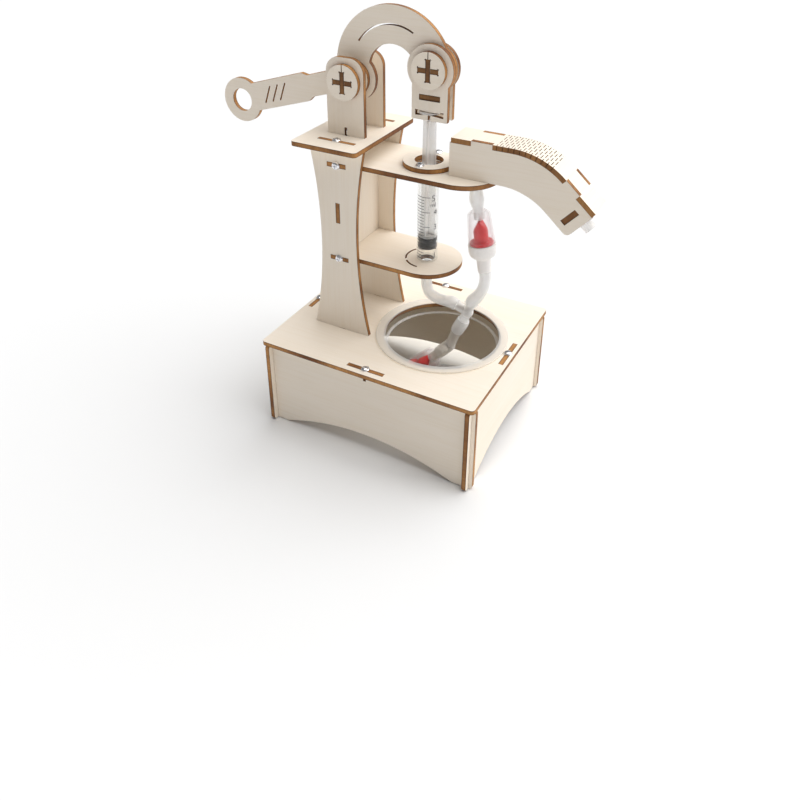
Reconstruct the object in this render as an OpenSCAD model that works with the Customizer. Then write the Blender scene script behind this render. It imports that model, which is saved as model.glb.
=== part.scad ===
// Hand pump model kit: a lever works a syringe through a link, two check valves send the
// water from a cup in the base up to a curved spout. Most pieces are flat 3 mm plywood.
// +X points towards the spout, +Z is up, and the front is the -Y side.

/* [Plywood] */
// Thickness of every plywood board
t = 3; // [2.8:0.1:3.2]
// Rounding of the outer corners of the boards
corner_r = 2.5; // [1:0.5:4]

/* [Base] */
// Length of the base plate along X
base_l = 150; // [146:1:156]
// Depth of the base plate along Y
base_d = 126; // [122:1:132]
// Height of the panels under the base plate
panel_h = 60; // [56:1:66]
// Height of the arch cut in the bottom edge of each panel
arch_rise = 12; // [8:1:16]
// Length of the foot left at each end of a panel
foot_l = 14; // [12:1:18]
// Distance from the plate's front edge to the middle of the front panel
panel_inset_y = 5.5; // [5:0.5:7]
// Distance from the plate's end edge to the middle of the end panel
panel_inset_x = 4; // [3.5:0.5:5]

/* [Cup] */
// Middle of the cup along X
cup_x = 24.5; // [22:0.5:25]
// Radius of the hole in the base plate for the cup
cup_hole_r = 38.5; // [36:0.5:39]
// Radius of the cup's flange
cup_flange_r = 43.5; // [42:0.5:43.5]
// Depth of the cup below the base plate's top
cup_depth = 50; // [40:1:54]

/* [Column] */
// Middle of the column along X
column_x = -37; // [-40:0.5:-36]
// Gap between the two column plates
column_gap = 44.5; // [42:0.5:46]
// Height of the column plates
column_h = 128; // [120:0.5:134]
// Width of a column plate at its waist
waist_w = 25.6; // [25:0.1:28]
// Height of the waist above the base plate
waist_h = 67; // [60:1:72]
// Radius of the column plates' hollow sides
flare_r = 300; // [290:5:330]
// Length of the cap plate along X
cap_l = 45; // [42:1:48]
// Distance of the cap plate's middle from the column's middle
cap_shift = -2; // [-4:0.5:0]
// Width of the cap plate along Y
cap_w = 73.5; // [70:0.5:78]

/* [Shelves] */
// Height of the lower shelf's top face above the base plate
lower_shelf_h = 54.2; // [48:0.2:56]
// Height of the upper shelf's top face above the base plate
upper_shelf_h = 117.5; // [114:0.5:122]
// Distance of the shelves' back end from the column's middle
shelf_back = 13; // [11:0.5:14]
// Middle of the upper shelf's round end along X
upper_tip_x = 35; // [34:0.5:38]

/* [Posts and lever] */
// Gap between the two posts
post_gap = 20; // [18:0.5:21]
// Width of a post
post_w = 25.4; // [24:0.2:27]
// Height of a post above the cap plate
post_h = 47; // [45:0.5:50]
// Height of the lever's pivot above the cap plate
pivot_h = 32.8; // [32:0.2:35]
// Distance between the lever's two pivots
arm_l = 52.6; // [52:0.2:54]
// Slope of the line through the two pivots at rest
arm_tilt = 13; // [12:0.5:14]
// Outer radius of the lever's arch
arch_outer_r = 37.5; // [36:0.5:39]
// Inner radius of the lever's arch
arch_inner_r = 15.7; // [15:0.1:17]
// Radius of the lever round each pivot
boss_r = 14.2; // [13:0.1:14.3]
// Slope of the handle at rest, below the horizontal
handle_drop = 17.2; // [14:0.2:18]
// Distance from the pivot to the middle of the handle's ring
ring_s = 90.5; // [88:0.5:96]
// Outer radius of the handle's ring
ring_r = 14.5; // [13:0.5:16]
// Radius of the hole in the handle's ring
ring_hole_r = 7.5; // [6:0.5:9]

/* [Axles] */
// Width of the crossed strips that make an axle
axle_w = 13; // [12:0.5:13.5]
// Radial clearance round an axle that turns
axle_play = 0.1; // [0.05:0.01:0.1]
// Radius of the discs on the axles
disc_r = 10.7; // [10:0.1:11.5]

/* [Link] */
// Gap between the link's two plates
link_gap = 3.6; // [3.5:0.1:4]
// Radius of the link's round head
link_head_r = 14.4; // [14:0.1:15]
// Width of the link's body
link_w = 22.7; // [21:0.1:24]
// Distance from the pivot to the link's bottom edge
link_l = 29.5; // [29:0.5:31]
// Distance from the pivot to the slot for the plunger's thumb disc
thumb_drop = 25.4; // [25:0.1:26]

/* [Syringe] */
// Syringe axis along X
syringe_x = 12.5; // [11:0.5:14]
// Outer radius of the barrel
barrel_r = 6.6; // [6.4:0.1:6.8]
// Bore radius of the barrel
bore_r = 5.95; // [5.8:0.05:6.1]
// Radial clearance of the seal in the bore
seal_play = 0.05; // [0.02:0.01:0.1]
// Height of the seal above the lower shelf
seal_h = 8.1; // [8.1:0.1:16]

/* [Spout] */
// Back end of the spout along X
spout_back_x = 30; // [29.5:0.5:32]
// Outer width of the spout
spout_w = 20; // [18:0.5:22]
// Height of the spout from the shelf to its top
spout_h = 23.2; // [21:0.2:24]
// Place along X where the spout starts to bend down
bend_x = 67.5; // [66:0.5:69]
// Radius of the spout's top over the bend
bend_r = 47; // [44:1:50]
// Angle of the bend
bend_a = 42; // [38:1:44]
// Length of the straight end after the bend
end_l = 24.5; // [22:0.5:27]
// Place along X where the spout's hollow side starts to bend down
hollow_x = 62.5; // [61:0.5:64]
// Radius of the spout's hollow side
hollow_r = 39.5; // [37:0.5:42]

/* [Hidden] */
$fn = 64;

// Colours
wood = "blanchedalmond";
frosted = "gainsboro";
clear = "lightblue";

// Long and short slots for two tabs with a screw between them, and the slit it bites into
slot_l = 25.5;
short_slot_l = 13.2;
screw_gap = 5;
pilot_w = 1.8;
pilot_l = 5;
web_slot_l = 13.6;
blank_w = waist_w + 20;

// Heights of the main faces
plate_top = panel_h + t;
lower_top = plate_top + lower_shelf_h;
upper_top = plate_top + upper_shelf_h;
cap_top = plate_top + column_h + t;
pivot_z = cap_top + pivot_h;
spout_top_z = upper_top + spout_h;

// Middle planes of the boards
column_y = (column_gap + t) / 2;
post_y = (post_gap + t) / 2;
panel_y = base_d / 2 - panel_inset_y;
panel_x = base_l / 2 - panel_inset_x;
link_y = (link_gap + t) / 2;
side_y = (spout_w - t) / 2;
spacer_y = link_y;
pivot_disc_y = post_y + t;
link_disc_y = link_y + t;

// The link's pivot and the plunger's thumb disc at rest
link_x = column_x + arm_l * cos(arm_tilt);
link_z = pivot_z + arm_l * sin(arm_tilt);
thumb_z = link_z - thumb_drop;

// The lever's outline
arch_lift = 1;
arch_slot_r = 26.7;
arch_slot_a = 43;
neck_w = 13.6;
neck_l = 34;
grip_w = 17.9;
grip_step = 4;
grip_slits = [56.1, 62.3, 68.5];
grip_slit_l = 12.6;
grip_slit_lean = 37;
slit_w = 1;

// The axle's crossed strips and the hole that turns on them
axle_hole_r = norm([axle_w / 2, t / 2]) + axle_play;
relief_r = 0.5;
kerf = 0.5;

// The link's slots
spacer_drop = 16.2;
spacer_l = 12.8;
spacer_wide = 19;
slot_play = 0.4;
tab_recess = 0.5;
thumb_slot_l = 18;
thumb_slot_mid = 1.6;
thumb_slot_end = 3.4;
thumb_r = 6.5;
thumb_t = 1;
foot_slit_w = 1.7;

// The syringe
barrel_top = upper_top - 0.4;
flange_t = 2;
flange_l = 23.6;
flange_w = 13.6;
floor_t = 1;
nozzle_r = 2.2;
nozzle_hole_r = 4.2;
nozzle_bottom = lower_top - t - 0.4;
collar_r = 15.75;
collar_hole_r = 8.6;
collar_screw_r = 12.2;
// Turn and half angle of each locating slit round the barrel
locating_slits = [[25, 23], [90, 32], [155, 23]];
locating_slit_r = 13.4;
seal_l = 7.6;
rib_t = 1.2;
rib_bottom_w = 10.2;
rib_top_w = 8;

// The spout
side_h = spout_h - t;
side_end_l = end_l + 0.5;
band_h = 14;
rear_tab = [43, 56];
front_tab = [0.5, 11.5];
shelf_tab = [34, 44];
cross_l = 10.6;
cross_back = 7.5;
cross_h = 17;
mouth_r = 3;

// The hoses: middle line as [x, z, radius], from one fitting to the next
hose_sides = 12;
valve_tilt = 9;
valve_seam = [49, 136.5];
intake_tilt = -41;
intake_seam = [5.7, 28.2];
tee_at = [41.8, 85.6];
tee_tilt = 20;
tee_r = 3;
tee_run = 7;
tee_branch = 8;
outlet_stub_end = 18.6;
intake_stub_end = 14;
hose_hole_r = 4;
SYRINGE_ROUTE = [
    [syringe_x, nozzle_bottom, 3.9], [syringe_x, nozzle_bottom - 4, 3.6], [12.3, 103.6, 3.5],
    [12.8, 97.4, 3.5], [15, 92.2, 3.5], [20, 89.8, 3.5], [26, 89.4, 3.6],
    tee_point(90 - tee_tilt, tee_branch + 4, 4), tee_point(90 - tee_tilt, tee_branch, 3.9)
];
RISER_ROUTE = [
    outlet_point(-outlet_stub_end, 3.9), outlet_point(-outlet_stub_end - 4, 3.6),
    [52.2, 108.6, 3.5], [50.6, 103.4, 3.6], [48.2, 99, 3.9],
    tee_point(-tee_tilt, tee_run + 3, 4.2), tee_point(-tee_tilt, tee_run, 4)
];
LOWER_ROUTE = [
    tee_point(-tee_tilt, -tee_run, 4), tee_point(-tee_tilt, -tee_run - 3, 4.3),
    [36.5, 72.4, 4.3], [35.1, 69, 4.1]
];
INTAKE_ROUTE = [
    [35.1, 69, 3.3], [33.7, 65.6, 3.3], [32.3, 61.6, 3.3], intake_point(38, 3.4), intake_point(37, 4),
    intake_point(26, 4), intake_point(25, 3.2), intake_point(17.5, 3.2)
];
SPOUT_ROUTE = [
    outlet_point(16, 3.2), outlet_point(22, 3.2), [44.8, 161.4, 3.9], [44.3, 164, 4.4], [43.9, 167, 4.2],
    [43.5, 171, 3.7], [43.2, 176, 3.5], [43.2, 180, 3.4], [44.6, 184.6, 3.4], [48.6, 188.4, 3.4],
    [54.6, 190.8, 3.4], [62, 191.4, 3.4], [70, 190.8, 3.4], [78, 188.6, 3.4], [85.6, 184.6, 3.4],
    mouth_point(2, 3.4), mouth_point(side_end_l - cross_back, 3.4), mouth_point(side_end_l + 6, 3.5)
];
spout_hole_x = 43.2;

// Where the hollow side's bend ends, in the frame of the spout's straight end
hollow_shift = [hollow_x - bend_x, upper_top - hollow_r - spout_top_z + bend_r];
hollow_end = hollow_shift[0] * cos(bend_a) - hollow_shift[1] * sin(bend_a);
hollow_depth = bend_r - hollow_r - hollow_shift[0] * sin(bend_a) - hollow_shift[1] * cos(bend_a);

// The frame's origin is the middle of the whole kit's footprint, on the ground
kit_min_x = column_x - ring_s * cos(handle_drop) - ring_r;
kit_max_x = bend_x + bend_r * sin(bend_a) + end_l * cos(bend_a);
origin_x = (kit_min_x + kit_max_x) / 2;

// A point of a route: at a distance from p along an axis that leans from upright towards -X
function route_point(p, lean, distance, r) = [p[0] - distance * sin(lean), p[1] + distance * cos(lean), r];
function outlet_point(distance, r) = route_point(valve_seam, valve_tilt, distance, r);
function intake_point(distance, r) = route_point(intake_seam, intake_tilt, distance, r);
function tee_point(lean, distance, r) = route_point(tee_at, lean, distance, r);

// A point of a route on the middle line of the spout's straight end
function mouth_point(distance, r) =
    let (start = route_point([bend_x, spout_top_z - bend_r], -bend_a, bend_r - t - side_h / 2, r))
    route_point(start, -90 - bend_a, distance, r);

// ---------- helpers ----------

// A board that stands facing the front, with its outline drawn in X and Z
module upright_board(y, thickness = t)
    translate([-origin_x, y + thickness / 2, 0])
        rotate([90, 0, 0])
            linear_extrude(thickness)
                children();

// A board that stands facing the end, with its outline drawn in Y and Z
module cross_board(x)
    translate([x - t / 2 - origin_x, 0, 0])
        rotate([90, 0, 90])
            linear_extrude(t)
                children();

// A board that lies flat, with its outline drawn in X and Y
module flat_board(z)
    translate([-origin_x, 0, z])
        linear_extrude(t)
            children();

// A solid in the kit's own X, Y and Z
module placed(x = 0, y = 0, z = 0)
    translate([x - origin_x, y, z])
        children();

module rounded_rect(w, h, r) {
    square([w - 2 * r, h], center = true);
    square([w, h - 2 * r], center = true);
    for (x = [-1, 1], y = [-1, 1])
        translate([x * (w / 2 - r), y * (h / 2 - r)])
            circle(r);
}

// Two tabs with the screw's gap between them, standing on the line y = 0
module tab_pair(length, height = t)
    for (side = [-1, 1])
        translate([side * (length + screw_gap) / 4 - (length - screw_gap) / 4, 0])
            square([(length - screw_gap) / 2, height]);

// The narrow slit that a screw bites into, going down from the line y = 0
module pilot_slit()
    translate([-pilot_w / 2, -pilot_l])
        square([pilot_w, pilot_l + 0.01]);

// A slot for a board, with its middle at the origin
module board_slot(length)
    square([length, t], center = true);

// A slot with a little play round the tab that it takes
module tab_hole(length)
    square([length + slot_play, t + slot_play], center = true);

// A narrow slit with round ends
module round_slit(length, width) {
    square([length - width, width], center = true);
    for (side = [-1, 1])
        translate([side * (length - width) / 2, 0])
            circle(width / 2, $fn = 16);
}

// The cross that an axle's two strips fill, with its corners relieved
module axle_cross() {
    for (turn = [0, 90])
        rotate(turn) {
            square([axle_w, t], center = true);
            for (x = [-1, 1], y = [-1, 1])
                translate([x * (axle_w / 2 - relief_r / 2), y * (t / 2)])
                    circle(relief_r, $fn = 16);
        }
}

module axle_disc(y, at_x, at_z)
    upright_board(y)
        translate([at_x, at_z])
            difference() {
                circle(disc_r);
                axle_cross();
                translate([-kerf / 2, axle_w / 2])
                    square([kerf, disc_r]);
            }

// One strip of an axle: it slides half way into its partner's open slit
module axle_strip(length, open_side)
    rotate([0, 0, 90])
        translate([0, 0, -t / 2])
            linear_extrude(t)
                difference() {
                    square([length, axle_w], center = true);
                    translate([open_side * length / 4, 0])
                        square([length / 2 + 0.01, t], center = true);
                }

// A pan-head screw with its head on z = 0 and its shank going down
module screw(length) {
    difference() {
        rotate_extrude()
            polygon([[0, 0], [2.7, 0], [2.7, 0.7], [2.2, 1.3], [1.3, 1.7], [0, 1.8]]);
        for (turn = [0, 90])
            rotate(turn)
                translate([-1.4, -0.3, 0.9])
                    cube([2.8, 0.6, 1]);
    }
    translate([0, 0, -length])
        rotate_extrude($fn = 24)
            polygon([[0, 0], [0.8, 1.6], [0.8, length], [0, length]]);
}

// ---------- base ----------

module panel_outline(length) {
    half_span = length / 2 - foot_l;
    arch_r = (half_span * half_span + arch_rise * arch_rise) / (2 * arch_rise);
    difference() {
        union() {
            translate([0, panel_h / 2])
                rounded_rect(length, panel_h, corner_r);
            translate([0, panel_h - 0.01])
                tab_pair(slot_l, t + 0.01);
        }
        translate([0, arch_rise - arch_r])
            circle(arch_r, $fn = 128);
        translate([0, panel_h])
            pilot_slit();
    }
}

// Front and back panels are slit from below, where the end panels cross them
module long_panel(side)
    color(wood)
        upright_board(side * panel_y)
            difference() {
                panel_outline(base_l);
                for (end = [-1, 1])
                    translate([end * panel_x - t / 2, -1])
                        square([t, panel_h / 2 + 1]);
            }

// End panels are slit from above
module end_panel(side)
    color(wood)
        cross_board(side * panel_x)
            difference() {
                panel_outline(base_d);
                for (end = [-1, 1])
                    translate([end * panel_y - t / 2, panel_h / 2])
                        square([t, panel_h]);
            }

module base_plate()
    color(wood)
        flat_board(panel_h)
            difference() {
                rounded_rect(base_l, base_d, corner_r);
                translate([cup_x, 0])
                    circle(cup_hole_r);
                for (side = [-1, 1]) {
                    translate([0, side * panel_y])
                        board_slot(slot_l);
                    translate([side * panel_x, 0])
                        rotate(90)
                            board_slot(slot_l);
                    translate([column_x, side * column_y])
                        board_slot(slot_l);
                }
            }

module water_cup() {
    wall = 1;
    flange_h = 1.2;
    top_r = cup_hole_r - 0.4;
    bottom_r = top_r - 4;
    color(clear, 0.4)
        placed(x = cup_x, z = plate_top)
            rotate_extrude()
                polygon([
                    [0, -cup_depth], [bottom_r, -cup_depth], [top_r, 0], [cup_flange_r, 0],
                    [cup_flange_r, flange_h], [top_r - wall, flange_h],
                    [bottom_r - wall, wall - cup_depth], [0, wall - cup_depth]
                ]);
}

// ---------- column ----------

// A column plate is a blank with its two long sides hollowed by large circles
module column_plate(side)
    color(wood)
        upright_board(side * column_y)
            translate([column_x, plate_top])
                difference() {
                    union() {
                        difference() {
                            translate([-blank_w / 2, 0])
                                square([blank_w, column_h]);
                            for (edge = [-1, 1])
                                translate([edge * (waist_w / 2 + flare_r), waist_h])
                                    circle(flare_r, $fn = 256);
                        }
                        translate([0, column_h - 0.01])
                            tab_pair(slot_l, t + 0.01);
                        translate([0, -t])
                            tab_pair(slot_l, t + 0.01);
                    }
                    translate([0, column_h])
                        pilot_slit();
                    for (z = [lower_shelf_h, upper_shelf_h])
                        translate([0, z - t / 2])
                            board_slot(short_slot_l);
                    translate([0, (lower_shelf_h + upper_shelf_h - t) / 2])
                        rotate(90)
                            board_slot(web_slot_l);
                }

// The web closes the column between the two shelves
module column_web() {
    web_h = upper_shelf_h - t - lower_shelf_h;
    color(wood)
        cross_board(column_x)
            translate([0, lower_top + web_h / 2]) {
                square([column_gap, web_h], center = true);
                square([column_gap + 2 * t, web_slot_l], center = true);
            }
}

module cap_plate()
    color(wood)
        flat_board(cap_top - t)
            difference() {
                translate([column_x + cap_shift, 0])
                    rounded_rect(cap_l, cap_w, corner_r);
                for (side = [-1, 1], y = [column_y, post_y])
                    translate([column_x, side * y])
                        board_slot(y == post_y ? short_slot_l : slot_l);
            }

module post(side) {
    top_r = 9;
    color(wood)
        upright_board(side * post_y)
            translate([column_x, cap_top])
                difference() {
                    union() {
                        translate([-post_w / 2, 0])
                            square([post_w, post_h - top_r]);
                        translate([top_r - post_w / 2, 0])
                            square([post_w - 2 * top_r, post_h]);
                        for (edge = [-1, 1])
                            translate([edge * (post_w / 2 - top_r), post_h - top_r])
                                circle(top_r);
                        translate([0, -t])
                            tab_pair(short_slot_l, t + 0.01);
                    }
                    translate([0, pivot_h])
                        axle_cross();
                    mirror([0, 1])
                        pilot_slit();
                }
}

// ---------- shelves ----------

// A shelf runs from inside the column to a round end, with tabs through the column plates
module shelf_outline(tip_x) {
    difference() {
        union() {
            translate([column_x - shelf_back, -column_gap / 2])
                square([tip_x - column_x + shelf_back, column_gap]);
            translate([tip_x, 0])
                circle(column_gap / 2);
            for (side = [0, 1])
                translate([column_x, 0])
                    mirror([0, side])
                        translate([0, column_gap / 2 - 0.01])
                            tab_pair(short_slot_l, t + 0.01);
        }
        for (side = [0, 1])
            translate([column_x, 0])
                mirror([0, side])
                    translate([0, column_gap / 2])
                        pilot_slit();
    }
}

module lower_shelf()
    color(wood)
        flat_board(lower_top - t)
            difference() {
                shelf_outline(syringe_x);
                translate([syringe_x, 0]) {
                    circle(nozzle_hole_r);
                    for (slit = locating_slits)
                        rotate(slit[0])
                            arc_slit(locating_slit_r, slit[1], slit_w);
                }
            }

// A slit along an arc about the +Y direction
module arc_slit(r, half_angle, width) {
    reach = r + width;
    intersection() {
        difference() {
            circle(r + width / 2, $fn = 96);
            circle(r - width / 2, $fn = 96);
        }
        polygon([
            [0, 0], [-2 * reach * sin(half_angle), 2 * reach * cos(half_angle)],
            [0, 2 * reach], [2 * reach * sin(half_angle), 2 * reach * cos(half_angle)]
        ]);
    }
}

module upper_shelf()
    color(wood)
        flat_board(upper_top - t)
            difference() {
                shelf_outline(upper_tip_x);
                translate([syringe_x, 0]) {
                    circle(barrel_r + 0.2);
                    rounded_rect(flange_l + 0.6, flange_w + 0.4, 5);
                    for (side = [-1, 1])
                        translate([0, side * collar_screw_r])
                            circle(pilot_w / 2, $fn = 24);
                }
                translate([spout_hole_x, 0])
                    circle(hose_hole_r);
                for (side = [-1, 1])
                    translate([(shelf_tab[0] + shelf_tab[1]) / 2, side * side_y])
                        board_slot(shelf_tab[1] - shelf_tab[0]);
            }

module collar_ring()
    color(wood)
        flat_board(upper_top)
            translate([syringe_x, 0])
                difference() {
                    circle(collar_r);
                    circle(collar_hole_r);
                    for (side = [-1, 1])
                        translate([0, side * collar_screw_r])
                            circle(pilot_w / 2, $fn = 24);
                }

// ---------- spout ----------

// The outline between two depths under the spout's top, from back_x to a length past the bend
module spout_band(depth_0, depth_1, back_x, length) {
    translate([back_x, spout_top_z - depth_1])
        square([bend_x - back_x, depth_1 - depth_0]);
    translate([bend_x, spout_top_z - bend_r])
        intersection() {
            difference() {
                circle(bend_r - depth_0, $fn = 128);
                circle(bend_r - depth_1, $fn = 128);
            }
            polygon([[0, 0], [0, 2 * bend_r], [2 * bend_r * sin(bend_a), 2 * bend_r * cos(bend_a)]]);
        }
    spout_end_frame()
        translate([0, -depth_1])
            square([length, depth_1 - depth_0]);
}

// The frame of the straight end: X along it towards the mouth, Y up out of the spout's top
module spout_end_frame()
    translate([bend_x, spout_top_z - bend_r])
        rotate(-bend_a)
            translate([0, bend_r])
                children();

// The parts of the spout's top layer that the side boards' tabs fill
module spout_tabs() {
    translate([rear_tab[0], spout_top_z - t])
        square([rear_tab[1] - rear_tab[0], t]);
    intersection() {
        spout_band(0, t + 0.01, spout_back_x, end_l);
        spout_end_frame()
            translate([front_tab[0], -2 * t])
                square([front_tab[1] - front_tab[0], 3 * t]);
    }
}

// The lower part of a spout side, along its hollow edge, up to the rounding at the mouth
module hollow_band(length) {
    translate([spout_back_x, upper_top])
        square([hollow_x - spout_back_x, band_h]);
    translate([hollow_x, upper_top - hollow_r])
        intersection() {
            difference() {
                circle(hollow_r + band_h, $fn = 128);
                circle(hollow_r, $fn = 128);
            }
            polygon([[0, 0], [0, 2 * bend_r], [2 * bend_r * sin(bend_a), 2 * bend_r * cos(bend_a)]]);
        }
    spout_end_frame()
        translate([hollow_end, -hollow_depth])
            square([length - hollow_end, band_h]);
}

module spout_side(side)
    color(wood)
        upright_board(side * side_y)
            difference() {
                union() {
                    spout_band(t, band_h, spout_back_x, side_end_l);
                    hollow_band(side_end_l - mouth_r);
                    spout_end_frame()
                        translate([side_end_l - mouth_r, mouth_r - hollow_depth]) {
                            square([mouth_r, band_h]);
                            circle(mouth_r);
                        }
                    spout_tabs();
                    translate([shelf_tab[0], upper_top - t])
                        square([shelf_tab[1] - shelf_tab[0], t + 0.01]);
                }
                spout_end_frame()
                    translate([side_end_l - cross_back, -t - side_h / 2])
                        rotate(90)
                            tab_hole(cross_l);
            }

// The top strip lies on the side boards and is notched for their tabs
module spout_top()
    color(wood)
        difference() {
            upright_board(0, spout_w)
                spout_band(0, t, spout_back_x + 0.8, end_l);
            for (side = [-1, 1])
                upright_board(side * side_y, t + 0.02)
                    spout_tabs();
        }

module spout_crosspiece()
    color(wood)
        difference() {
            union() {
                upright_board(0, spout_w - 2 * t)
                    crosspiece_section(cross_h);
                upright_board(0, spout_w - 2 * tab_recess)
                    crosspiece_section(cross_l);
            }
            placed(x = bend_x, z = spout_top_z - bend_r)
                rotate([0, bend_a, 0])
                    translate([0, 0, bend_r - t - side_h / 2])
                        rotate([0, 90, 0])
                            cylinder(h = 40, r = hose_hole_r);
        }

module crosspiece_section(height)
    spout_end_frame()
        translate([side_end_l - cross_back, -t - side_h / 2])
            square([t, height], center = true);

// ---------- pivots ----------

module axle_at(x, z, length, upright)
    color(wood)
        placed(x = x, z = z)
            rotate([0, upright ? 90 : 0, 0])
                axle_strip(length, upright ? 1 : -1);

module pivot_disc(y)
    color(wood)
        axle_disc(y, column_x, pivot_z);

module link_disc(y)
    color(wood)
        axle_disc(y, link_x, link_z);

// ---------- lever ----------

module handle_outline()
    rotate(180 + handle_drop)
        difference() {
            union() {
                polygon([
                    [0, -neck_w / 2], [neck_l, -neck_w / 2], [neck_l + grip_step, -grip_w / 2],
                    [ring_s, -grip_w / 2], [ring_s, grip_w / 2], [neck_l + grip_step, grip_w / 2],
                    [neck_l, neck_w / 2], [0, neck_w / 2]
                ]);
                translate([ring_s, 0])
                    circle(ring_r);
            }
            translate([ring_s, 0])
                circle(ring_hole_r);
            for (s = grip_slits)
                translate([s, 0])
                    rotate(90 - grip_slit_lean)
                        round_slit(grip_slit_l, slit_w);
        }

module arch_outline()
    rotate(arm_tilt)
        difference() {
            union() {
                intersection() {
                    translate([arm_l / 2, arch_lift])
                        circle(arch_outer_r, $fn = 128);
                    translate([-arm_l, 0])
                        square([3 * arm_l, 2 * arm_l]);
                }
                for (x = [0, arm_l])
                    translate([x, 0])
                        circle(boss_r);
            }
            difference() {
                translate([arm_l / 2, arch_lift])
                    circle(arch_inner_r);
                for (x = [0, arm_l])
                    translate([x, 0])
                        circle(boss_r);
            }
            translate([arm_l / 2, arch_lift])
                arc_slit(arch_slot_r, arch_slot_a, slit_w);
        }

module lever_arm()
    color(wood)
        upright_board(0)
            translate([column_x, pivot_z])
                difference() {
                    union() {
                        arch_outline();
                        handle_outline();
                    }
                    circle(axle_hole_r);
                    rotate(arm_tilt)
                        translate([arm_l, 0])
                            circle(axle_hole_r);
                }

// ---------- link ----------

module link_plate(side)
    color(wood)
        upright_board(side * link_y)
            translate([link_x, link_z])
                difference() {
                    union() {
                        circle(link_head_r);
                        translate([-link_w / 2, -link_l])
                            square([link_w, link_l]);
                    }
                    axle_cross();
                    translate([0, -spacer_drop])
                        tab_hole(spacer_l);
                    translate([0, -thumb_drop])
                        polygon([
                            [-thumb_slot_l / 2, -thumb_slot_end / 2], [0, -thumb_slot_mid / 2],
                            [thumb_slot_l / 2, -thumb_slot_end / 2], [thumb_slot_l / 2, thumb_slot_end / 2],
                            [0, thumb_slot_mid / 2], [-thumb_slot_l / 2, thumb_slot_end / 2]
                        ]);
                    translate([-foot_slit_w / 2, -link_l - 0.01])
                        square([foot_slit_w, link_l - thumb_drop]);
                }

// A small board that keeps the two link plates apart, with a tab through each
module link_spacer()
    color(wood)
        placed(x = link_x, z = link_z - spacer_drop) {
            cube([spacer_wide, link_gap, t], center = true);
            cube([spacer_l, link_gap + 2 * t - 2 * tab_recess, t], center = true);
        }

// ---------- syringe ----------

module syringe_barrel()
    color(clear, 0.5)
        placed(x = syringe_x) {
            rotate_extrude()
                polygon([
                    [0, lower_top], [0, nozzle_bottom], [nozzle_r, nozzle_bottom], [nozzle_r, lower_top],
                    [barrel_r, lower_top], [barrel_r, barrel_top], [bore_r, barrel_top],
                    [bore_r, lower_top + floor_t], [0, lower_top + floor_t]
                ]);
            translate([0, 0, barrel_top - flange_t])
                linear_extrude(flange_t)
                    difference() {
                        rounded_rect(flange_l, flange_w, 5);
                        circle(barrel_r - 0.1);
                    }
        }

module plunger_seal() {
    r = bore_r - seal_play;
    groove = 0.6;
    color("dimgray")
        placed(x = syringe_x, z = lower_top + seal_h)
            rotate_extrude()
                polygon([
                    [0, -0.8], [r - 1, 0], [r, 0.4], [r, 2.4], [r - groove, 3], [r - groove, seal_l - 3],
                    [r, seal_l - 2.4], [r, seal_l], [0, seal_l]
                ]);
}

// One blade of the plunger's cross, tapering towards the top
module rib_blade(bottom, top, width_0, width_1)
    translate([0, rib_t / 2, 0])
        rotate([90, 0, 0])
            linear_extrude(rib_t)
                polygon([
                    [-width_0 / 2, bottom], [width_0 / 2, bottom], [width_1 / 2, top], [-width_1 / 2, top]
                ]);

// The blade along Y stops under the link's plates, the blade along X goes up between them
module plunger_rod() {
    rod_bottom = lower_top + seal_h + seal_l;
    link_bottom = link_z - link_l;
    color(frosted)
        placed(x = syringe_x) {
            translate([0, 0, rod_bottom])
                cylinder(h = 1.6, r = bore_r - 0.4);
            rib_blade(rod_bottom, thumb_z, rib_bottom_w, rib_top_w);
            rotate([0, 0, 90])
                rib_blade(rod_bottom, link_bottom - 1.4, rib_bottom_w, rib_top_w);
            translate([0, 0, thumb_z - thumb_t / 2])
                cylinder(h = thumb_t, r = thumb_r);
        }
}

// ---------- hoses and valves ----------

function route_heading(route, i) =
    let (a = route[max(i - 1, 0)], b = route[min(i + 1, len(route) - 1)], d = [b[0] - a[0], b[1] - a[1]])
    d / norm(d);

// A closed tube swept along a route in the plane y = 0
module hose(route) {
    rings = len(route);
    points = [
        for (i = [0:rings - 1], k = [0:hose_sides - 1])
            let (
                heading = route_heading(route, i),
                out = route[i][2] * cos(k * 360 / hose_sides),
                side = route[i][2] * sin(k * 360 / hose_sides)
            )
            [route[i][0] - heading[1] * out - origin_x, side, route[i][1] + heading[0] * out]
    ];
    walls = [
        for (i = [0:rings - 2], k = [0:hose_sides - 1])
            let (next = (k + 1) % hose_sides, low = i * hose_sides, high = low + hose_sides)
            [low + k, low + next, high + next, high + k]
    ];
    start = [for (k = [hose_sides - 1:-1:0]) k];
    finish = [for (k = [0:hose_sides - 1]) (rings - 1) * hose_sides + k];
    polyhedron(points, concat(walls, [start, finish]), convexity = 6);
}

module tee_fitting()
    color(frosted)
        placed(x = tee_at[0], z = tee_at[1])
            rotate([0, tee_tilt, 0]) {
                translate([0, 0, -tee_run])
                    cylinder(h = 2 * tee_run, r = tee_r);
                rotate([0, -90, 0])
                    cylinder(h = tee_branch, r = tee_r);
                sphere(tee_r + 0.8);
            }

// Both check valves are alike: seam is where the clear body meets the white cap
module valve_frame(seam, lean)
    placed(x = seam[0], z = seam[1])
        rotate([0, -lean, 0])
            children();

module valve_body(seam, lean) {
    wall = 0.9;
    mouth = 3.7;
    color(clear, 0.5)
        valve_frame(seam, lean)
            rotate_extrude()
                polygon([
                    [8.2, 0], [8.2, 3], [6.9, 19.8], [6.1, 21.2], [mouth, 21.2],
                    [mouth, 21.2 - wall], [5.9, 21.2 - wall], [8.2 - wall, 3], [8.2 - wall, 0]
                ]);
}

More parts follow.
